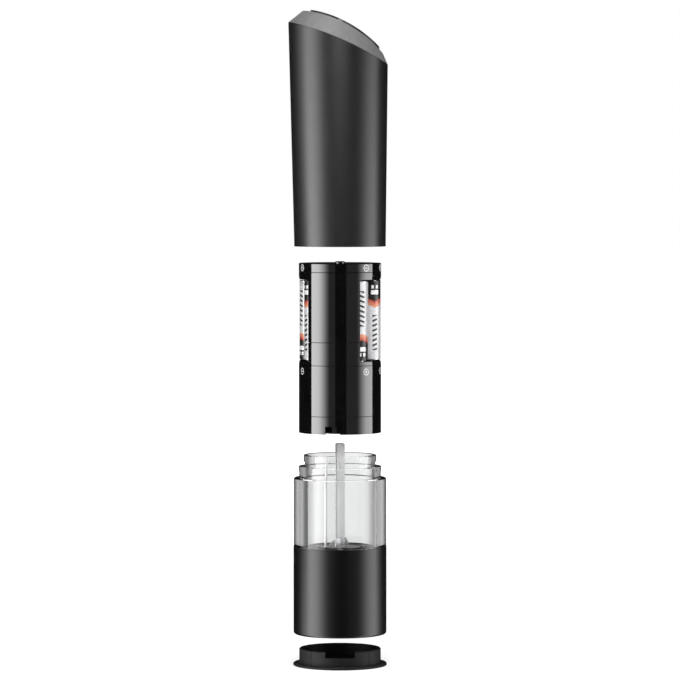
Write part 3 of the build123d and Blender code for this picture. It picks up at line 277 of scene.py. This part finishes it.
def clear_acrylic():
    """Clear moulding with painted shade, darker where a wall is seen edge on."""
    tree = Tree("clear_acrylic")
    clouds = tree.spread(tree.noise(ACRYLIC_CLOUDS), 0.0, 1.0)
    clear = tree.blend(clouds, *ACRYLIC)
    facing = tree.add("ShaderNodeLayerWeight").outputs["Facing"]
    upright = tree.add("ShaderNodeSeparateXYZ")
    tree.link(tree.add("ShaderNodeNewGeometry").outputs["Normal"], upright.inputs[0])
    level = tree.math("ABSOLUTE", upright.outputs["Z"])  # level faces get no painted edge shade and keep the clear tint
    # painted shade: the colour darkens where a wall is seen edge on
    edge = tree.spread(facing, 0.0, 1.0, *ACRYLIC_TURN, curve="SMOOTHSTEP")
    edge = tree.math("MULTIPLY", edge, tree.math("SUBTRACT", 1.0, level))
    tree.link(tree.blend(edge, clear, ACRYLIC_EDGE_SHADE), tree.shader.inputs["Base Color"])
    tree.link(tree.spread(tree.noise(ACRYLIC_WEAR), *ACRYLIC_ROUGH), tree.shader.inputs["Roughness"])
    tree.relief(ACRYLIC_GRAIN)
    tree.feed(tree.shader, Transmission_Weight=1.0, IOR=ACRYLIC_IOR)
    return tree.material


def satin_graphite():
    return finish(
        "satin_graphite", dark=(0.135, 0.135, 0.138), light=(0.165, 0.165, 0.168),
        mottle=300, rough=(0.40, 0.48), wear=200, grain=(4200, 0.1, 0.03 * MM),
    )


def satin_black():
    return finish(
        "satin_black", dark=(0.012, 0.012, 0.0125), light=(0.017, 0.017, 0.0175),
        mottle=380, rough=(0.3, 0.38), wear=220, grain=(4800, 0.1, 0.03 * MM),
    )


def moulded_dark():
    return finish(
        "moulded_dark", dark=(0.035, 0.035, 0.037), light=(0.055, 0.055, 0.057),
        mottle=260, rough=(0.38, 0.52), wear=180, grain=(3000, 0.15, 0.04 * MM),
    )


def brushed_steel():
    return finish(
        "brushed_steel", dark=(0.78, 0.78, 0.79), light=(0.86, 0.86, 0.865),
        mottle=700, rough=(0.30, 0.38), wear=900, grain=(1500, 0.06, 0.02 * MM),
        stretch=(1, 1, 0.04), Metallic=0.5,
    )


def bright_zinc():
    return finish(
        "bright_zinc", dark=(0.60, 0.61, 0.63), light=(0.72, 0.72, 0.73),
        mottle=600, rough=(0.16, 0.30), wear=800, grain=(2600, 0.1, 0.02 * MM),
        Metallic=1.0,
    )


def white_ceramic():
    return finish(
        "white_ceramic", dark=(0.74, 0.73, 0.70), light=(0.83, 0.82, 0.79),
        mottle=500, rough=(0.45, 0.6), wear=300, grain=(3600, 0.2, 0.03 * MM),
    )


def natural_nylon():
    return finish(
        "natural_nylon", dark=(0.66, 0.63, 0.55), light=(0.75, 0.72, 0.64),
        mottle=300, rough=(0.35, 0.48), wear=260, grain=(2400, 0.12, 0.03 * MM),
        Subsurface_Weight=0.1,
    )


def machined_brass():
    return finish(
        "machined_brass", dark=(0.62, 0.44, 0.19), light=(0.73, 0.54, 0.26),
        mottle=500, rough=(0.2, 0.32), wear=700, grain=(1800, 0.15, 0.02 * MM),
        stretch=(1, 1, 6), Metallic=1.0,
    )


def green_laminate():
    return finish(
        "green_laminate", dark=(0.02, 0.11, 0.045), light=(0.035, 0.16, 0.07),
        mottle=900, rough=(0.3, 0.42), wear=400, grain=(2800, 0.2, 0.03 * MM),
    )


def red_insulation():
    return finish(
        "red_insulation", dark=(0.32, 0.02, 0.016), light=(0.42, 0.03, 0.022),
        mottle=500, rough=(0.4, 0.55), wear=300, grain=(2400, 0.12, 0.03 * MM),
    )


def white_print():
    return finish(
        "white_print", dark=(0.72, 0.72, 0.72), light=(0.82, 0.82, 0.82),
        mottle=2500, rough=(0.35, 0.5), wear=900, grain=(6000, 0.1, 0.01 * MM),
    )


def cell_jacket(node, nub_up):
    """Printed foil jacket: dark nub end with white blocks, warm chevron band, slanted bars on silver."""
    low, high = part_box(node)
    middle = (low + high) / 2
    radius = (high.x - low.x) / 2
    shoulder = high.z - CELL_NUB if nub_up else low.z + CELL_NUB
    tree = Tree(f"jacket_{node}")
    parts = tree.add("ShaderNodeSeparateXYZ")
    tree.link(tree.place(shift=(-middle.x, -middle.y, -shoulder)), parts.inputs[0])
    down = tree.math("MULTIPLY", parts.outputs["Z"], -1.0 if nub_up else 1.0)
    angle = tree.math("ARCTAN2", parts.outputs["Y"], parts.outputs["X"])
    turned = tree.math("ADD", angle, math.radians(PRINT_TURN))
    row = 2 * math.pi * radius / PRINT_ROWS
    across = tree.math("WRAP", tree.math("MULTIPLY", turned, radius), row / 2, -row / 2)
    aside = tree.math("ABSOLUTE", across)
    warm_place = tree.math("MULTIPLY_ADD", aside, CHEVRON, down)

    def between(value, ends):
        above = tree.math("GREATER_THAN", value, ends[0])
        below = tree.math("LESS_THAN", value, ends[1])
        return tree.math("MULTIPLY", above, below)

    def within(half, ends):
        return tree.math("MULTIPLY", tree.math("LESS_THAN", aside, half), between(down, ends))

    slanted = tree.math("MULTIPLY_ADD", across, BAR_SLANT, down)
    stroke = tree.math("LESS_THAN", tree.math("WRAP", slanted, BAR_STEP, 0.0), BAR_STROKE)
    bars = tree.math("MULTIPLY", stroke, within(BAR_HALF, CELL_BARS))
    from_tile = tree.math("ABSOLUTE", tree.math("SUBTRACT", aside, TILE_OUT))
    tiles = tree.math("MULTIPLY", tree.math("LESS_THAN", from_tile, TILE_HALF), between(down, TILES))
    white = tree.math("MAXIMUM", tiles, within(BLOCK_HALF, BLOCK))
    warm = tree.blend(tree.spread(warm_place, 0.0, 1.0, *CELL_WARM), CELL_RED, CELL_ORANGE)
    clouds = tree.spread(tree.noise(CELL_CLOUDS), 0.0, 1.0)
    colour = tree.blend(clouds, *CELL_SILVER)
    colour = tree.blend(bars, colour, CELL_INK)
    colour = tree.blend(between(warm_place, CELL_WARM), colour, warm)
    colour = tree.blend(between(warm_place, CELL_DARK), colour, CELL_BLACK)
    colour = tree.blend(white, colour, CELL_WHITE)
    tree.link(colour, tree.shader.inputs["Base Color"])
    bare = tree.math("SUBTRACT", 1.0, between(down, CELL_JACKET))
    tree.link(tree.spread(bare, *CELL_METAL, 0.0, 1.0), tree.shader.inputs["Metallic"])
    tree.link(tree.spread(tree.noise(CELL_WEAR), *CELL_ROUGH), tree.shader.inputs["Roughness"])
    tree.relief(CELL_GRAIN)
    return tree.material


# New pieces

def new_piece(name, mesh_maker, material):
    """Object in the scene, with one material and the mesh that mesh_maker fills."""
    shape = bmesh.new()
    mesh_maker(shape)
    mesh = bpy.data.meshes.new(name)
    shape.to_mesh(mesh)
    shape.free()
    piece = bpy.data.objects.new(name, mesh)
    bpy.context.scene.collection.objects.link(piece)
    mesh.materials.append(material)
    return piece


def polarity_mark(shape, plus):
    """Circle with a minus or a plus in it, flat in XY, its front at the rise of a mark."""
    made = bmesh.ops.create_circle(shape, cap_ends=True, segments=MARK_SEGMENTS, radius=MARK_R)
    disc = made["verts"][0].link_faces[0]
    bmesh.ops.inset_region(shape, faces=[disc], thickness=MARK_LINE, use_boundary=True)
    bmesh.ops.delete(shape, geom=[disc], context="FACES")
    turns = (0, 90) if plus else (0,)
    for turn in turns:
        size = Matrix.Diagonal((MARK_BAR, MARK_LINE, 1.0, 1.0))
        bmesh.ops.create_grid(
            shape, x_segments=MARK_BAR_SEGMENTS, y_segments=1, size=0.5,
            matrix=Matrix.Rotation(math.radians(turn), 4, "Z") @ size,
        )
    bmesh.ops.translate(shape, verts=shape.verts[:], vec=(0, 0, MARK_RISE))
    bmesh.ops.solidify(shape, geom=shape.faces[:], thickness=MARK_THICK)


def wrap_round(shape, radius, angle, height):
    """Bends a flat shape onto the power unit's round wall, about an angle counted from +X."""
    for vertex in shape.verts:
        across, up, out = vertex.co
        turn = math.radians(angle) + across / radius
        reach = radius + out
        vertex.co = (reach * math.cos(turn), reach * math.sin(turn), height + up)


def polarity_marks():
    """Plus and minus marks above and below the cells, the plus at the nub's end."""
    cap_low, cap_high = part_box("top_cap")
    radius = (cap_high.x - cap_low.x) / 2
    upper = (cap_low.z + cap_high.z) / 2
    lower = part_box("motor_housing")[1].z - MARK_DOWN
    columns = [(side, step) for side in (0, 180) for step in (-1, 0, 1)]

    def make(shape):
        for side, step in columns:
            angle = MARK_TURN + side + step * MARK_SPREAD
            nub_up = (step == 0) == (side == 0)
            for height, plus in ((upper, nub_up), (lower, not nub_up)):
                one = bmesh.new()
                polarity_mark(one, plus)
                wrap_round(one, radius, angle, height)
                kept = bpy.data.meshes.new("mark")
                one.to_mesh(kept)
                one.free()
                shape.from_mesh(kept)
                bpy.data.meshes.remove(kept)
        bmesh.ops.recalc_face_normals(shape, faces=shape.faces[:])

    marks = new_piece("polarity_marks", make, white_print())
    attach(marks, "power")


# Stage and light

def light_path_share(material_nodes, links):
    """Socket that is 1 for rays from the camera, mirrored rays and rays through clear walls."""
    path = material_nodes.new("ShaderNodeLightPath")
    share = path.outputs["Is Camera Ray"]
    for kind in ("Is Glossy Ray", "Is Transmission Ray"):
        larger = material_nodes.new("ShaderNodeMath")
        larger.operation = "MAXIMUM"
        links.new(share, larger.inputs[0])
        links.new(path.outputs[kind], larger.inputs[1])
        share = larger.outputs[0]
    return share


def white_world():
    world = bpy.data.worlds.new("white_studio")
    bpy.context.scene.world = world
    world.use_nodes = True
    tree = world.node_tree
    sky = tree.nodes["Background"]
    sky.inputs["Color"].default_value = (1, 1, 1, 1)
    seen = light_path_share(tree.nodes, tree.links)
    strength = tree.nodes.new("ShaderNodeMapRange")
    strength.inputs["To Min"].default_value = AMBIENT
    strength.inputs["To Max"].default_value = BACKGROUND
    tree.links.new(seen, strength.inputs["Value"])
    tree.links.new(strength.outputs["Result"], sky.inputs["Strength"])


def white_floor():
    tree = Tree("white_floor")
    clouds = tree.spread(tree.noise(FLOOR_CLOUDS), 0.0, 1.0)
    tree.link(tree.blend(clouds, *FLOOR_WHITE), tree.shader.inputs["Base Color"])
    tree.feed(tree.shader, Roughness=FLOOR_ROUGH, Specular_IOR_Level=0.0, Emission_Color=(1, 1, 1, 1))
    seen = light_path_share(tree.nodes, tree.material.node_tree.links)
    distance = tree.add("ShaderNodeVectorMath", operation="LENGTH")
    tree.link(tree.place(), distance.inputs[0])
    own_light = tree.spread(distance.outputs["Value"], *FLOOR_GLOW, *FLOOR_FAR, curve="SMOOTHSTEP")
    tree.link(tree.math("MULTIPLY", seen, own_light), tree.shader.inputs["Emission Strength"])

    def make(shape):
        bmesh.ops.create_grid(shape, x_segments=1, y_segments=1, size=FLOOR_HALF)

    floor = new_piece("floor", make, tree.material)
    floor.visible_glossy = False


def round_card(name, span, material, unseen, radius=CARD_RADIUS, heights=(CARD_LOW, CARD_HIGH)):
    """Upright card bent round the mill's axis between two angles.

    unseen names the kinds of rays that pass through the card.
    """
    start, end = (math.radians(angle) for angle in sorted(span))

    def make(shape):
        foot = Vector((0, -radius, heights[0]))
        foot.rotate(Matrix.Rotation(start, 3, "Z"))
        ends = [shape.verts.new(foot), shape.verts.new((foot.x, foot.y, heights[1]))]
        edge = shape.edges.new(ends)
        bmesh.ops.spin(
            shape, geom=[edge, *ends], cent=(0, 0, 0), axis=(0, 0, 1), dvec=(0, 0, 0),
            angle=end - start, steps=CARD_STEPS, use_merge=False,
        )

    card = new_piece(name, make, material)
    if "glossy" in unseen:
        material.cycles.emission_sampling = "NONE"  # nothing but clear walls looks at it
    for ray in ("camera", "diffuse", "shadow", *unseen):
        setattr(card, f"visible_{ray}", False)


def glow(name, rise, strengths, fade=(0.0, 1.0, 1.0), middle=(0.0, 180.0, 1.0)):
    """Light that changes between two angles from the camera's side, and between two heights.

    middle is (start, end, growth): between these angles the light grows once more.
    """
    tree = Tree(name)
    parts = tree.add("ShaderNodeSeparateXYZ")
    tree.link(tree.place(), parts.inputs[0])
    forward = tree.math("MULTIPLY", parts.outputs["Y"], -1.0)
    angle = tree.math("ARCTAN2", parts.outputs["X"], forward)
    from_middle = tree.math("ABSOLUTE", angle)
    near, far = (abs(math.radians(value)) for value in rise)
    strength = tree.spread(from_middle, *strengths, near, far, curve="SMOOTHSTEP")
    low, high, share = fade
    strength = tree.math("MULTIPLY", strength, tree.spread(parts.outputs["Z"], 1.0, share, low, high))
    start, end, growth = middle
    more = tree.spread(from_middle, 1.0, growth, math.radians(start), math.radians(end), curve="SMOOTHSTEP")
    strength = tree.math("MULTIPLY", strength, more)
    tree.feed(
        tree.shader, Base_Color=(0, 0, 0, 1), Specular_IOR_Level=0.0, Emission_Color=(1, 1, 1, 1),
        Emission_Strength=strength,
    )
    return tree.material


def soft_lamp(name, place, size):
    data = bpy.data.lights.new(name, "AREA")
    data.shape = "SQUARE"
    data.size = size
    data.energy = LAMP_POWER
    lamp = bpy.data.objects.new(name, data)
    lamp.location = place
    lamp.rotation_euler = (Vector(LAMP_AIM) - Vector(place)).to_track_quat("-Z", "Y").to_euler()
    lamp.visible_camera = False
    lamp.visible_glossy = False
    bpy.context.scene.collection.objects.link(lamp)


def studio():
    white_world()
    white_floor()
    dim = (CARD_GLOW, CARD_GLOW)
    not_through_walls = ["transmission"]
    not_mirrored = ["glossy"]
    for name, span, material in (
        ("front_card", FRONT_CARD, glow("front_dark", FRONT_CARD, dim, FRONT_FADE)),
        ("side_card", SIDE_CARD, glow("side_dark", FRONT_CARD, dim)),
        ("left_light", LEFT_LIGHT, glow("left_glow", LEFT_RISE, LEFT_GLOW, LEFT_FADE)),
        ("right_light", RIGHT_LIGHT, glow("right_glow", RIGHT_RISE, RIGHT_GLOW, RIGHT_FADE)),
    ):
        round_card(name, span, material, not_through_walls)
    low_edge = (CARD_LOW, EDGE_HEIGHTS[0])
    high_edge = (EDGE_HEIGHTS[1], CARD_HIGH)
    for name, span, strength, heights in (
        ("left_low_edge", LEFT_EDGE, LOW_EDGE_GLOW[0], low_edge),
        ("right_low_edge", RIGHT_EDGE, LOW_EDGE_GLOW[1], low_edge),
        ("left_high_edge", LEFT_EDGE, HIGH_EDGE_GLOW, high_edge),
    ):
        border = glow(name, span, (strength, 0.0))
        round_card(name, span, border, not_through_walls, EDGE_RADIUS, heights)
    haze = glow("haze", HAZE, (HAZE_GLOW, SHADE_GLOW[0]))
    for side, sign, middle in (("right", 1, RIGHT_MIDDLE), ("left", -1, LEFT_MIDDLE)):
        shade = glow(f"{side}_shade", SHADE_RISE, SHADE_GLOW, middle=middle)
        round_card(f"{side}_shade", [sign * angle for angle in SHADE], shade, not_mirrored)
        round_card(f"{side}_haze", [sign * angle for angle in HAZE], haze, not_mirrored)
    front_shade = glow("front_shade", SHADE_RISE, (FRONT_SHADE_GLOW, FRONT_SHADE_GLOW))
    round_card("front_shade", FRONT_SHADE, front_shade, not_mirrored, EDGE_RADIUS)
    soft_lamp("top_lamp", TOP_LAMP, TOP_LAMP_SIZE)
    soft_lamp("front_lamp", FRONT_LAMP, FRONT_LAMP_SIZE)


def camera():
    data = bpy.data.cameras.new("camera")
    data.sensor_width = SENSOR
    data.lens = SENSOR * CAMERA_DISTANCE / PICTURE_WIDTH
    view = bpy.data.objects.new("camera", data)
    bpy.context.scene.collection.objects.link(view)
    rise = math.radians(CAMERA_RISE)
    back = Vector((0, -math.cos(rise), math.sin(rise)))
    view.location = Vector((0, 0, CAMERA_AIM)) + back * CAMERA_DISTANCE
    view.rotation_euler = (-back).to_track_quat("-Z", "Y").to_euler()
    bpy.context.scene.camera = view


# Which piece has which finish

def give(name, material):
    """Replaces the materials of a node."""
    mesh = nodes[name].data
    mesh.materials.clear()
    mesh.materials.append(material)


def dress():
    groups = {
        fine_matt_black: ("top_sleeve",),
        deep_matt_black: ("lower_sleeve",),
        dull_black: ("base_cap",),
        polished_black: (
            "coupling_skirt", "motor_housing", "cell_tray", "cell_frame", "top_cap", "switch_plunger",
        ),
        clear_acrylic: ("spice_hopper",),
        satin_graphite: ("top_bezel",),
        satin_black: ("push_button",),
        moulded_dark: (
            "shaft_guide", "grinder_housing", "burr_bridge", "grind_dial", "gear_plate", "button_bracket",
            "tact_switch",
        ),
        brushed_steel: ("drive_shaft", "thrust_pin", "motor", "motor_shaft"),
        bright_zinc: (
            "bridge_screws", "rotor_spring", "cone_clip", "feeder", "skirt_screws", "motor_screws",
            "cap_screws", "contact_plates", "contact_springs", "bracket_screws", "button_spring",
        ),
        white_ceramic: ("burr_ring", "burr_cone"),
        natural_nylon: (
            "gear_case", "planet_carrier", "planet_gear_1", "planet_gear_2", "planet_gear_3",
        ),
        machined_brass: ("output_bush", "sun_gear"),
        green_laminate: ("switch_board",),
        red_insulation: ("motor_leads",),
    }
    for make, names in groups.items():
        material = make()
        for name in names:
            give(name, material)
    for side, middle_up in (("right", True), ("left", False)):
        for row in ("front", "middle", "rear"):
            name = f"cell_{side}_{row}"
            give(name, cell_jacket(name, (row == "middle") == middle_up))


bpy.context.scene.view_settings.view_transform = "Standard"
dress()
polarity_marks()
studio()
camera()
